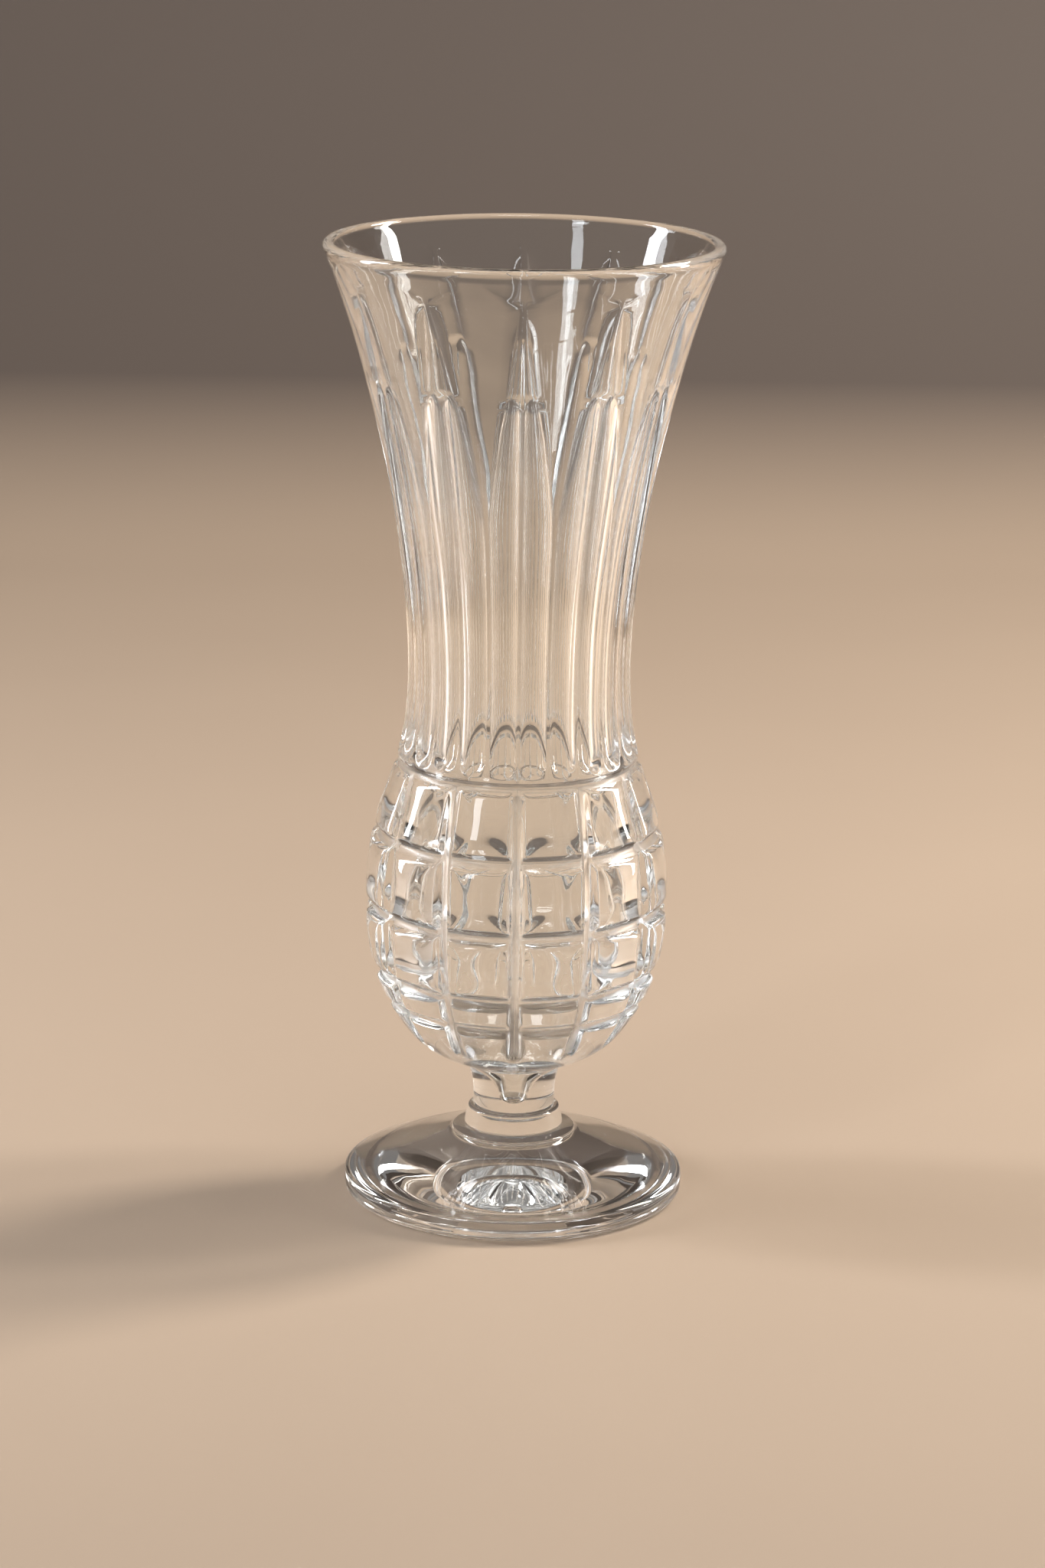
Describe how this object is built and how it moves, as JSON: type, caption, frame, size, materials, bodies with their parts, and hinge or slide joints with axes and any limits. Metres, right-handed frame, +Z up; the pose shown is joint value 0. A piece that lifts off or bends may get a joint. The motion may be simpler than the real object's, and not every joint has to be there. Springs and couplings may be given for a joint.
{
  "type": "footed bud vase",
  "caption": "Clear pressed-glass footed vase: flared trumpet with paired arched flutes, round lattice-cut bulb, short stem with a fused collar, low domed foot.",
  "frame": {"origin": "centre of the flat standing ring under the foot, on the surface the vase stands on", "axes": "+Z up along the axis of the vase; one vertical lattice groove, with the ridge above it, lies on the -Y side"},
  "size_m": [0.0728, 0.0728, 0.18],
  "materials": {
    "clear_glass": "clear fire-polished pressed soda-lime glass with a faint grey-green tint"
  },
  "bodies": {
    "root": {"bowl": "clear_glass", "collar_wafer": "clear_glass", "foot": "clear_glass"}
  },
  "joints": []
}
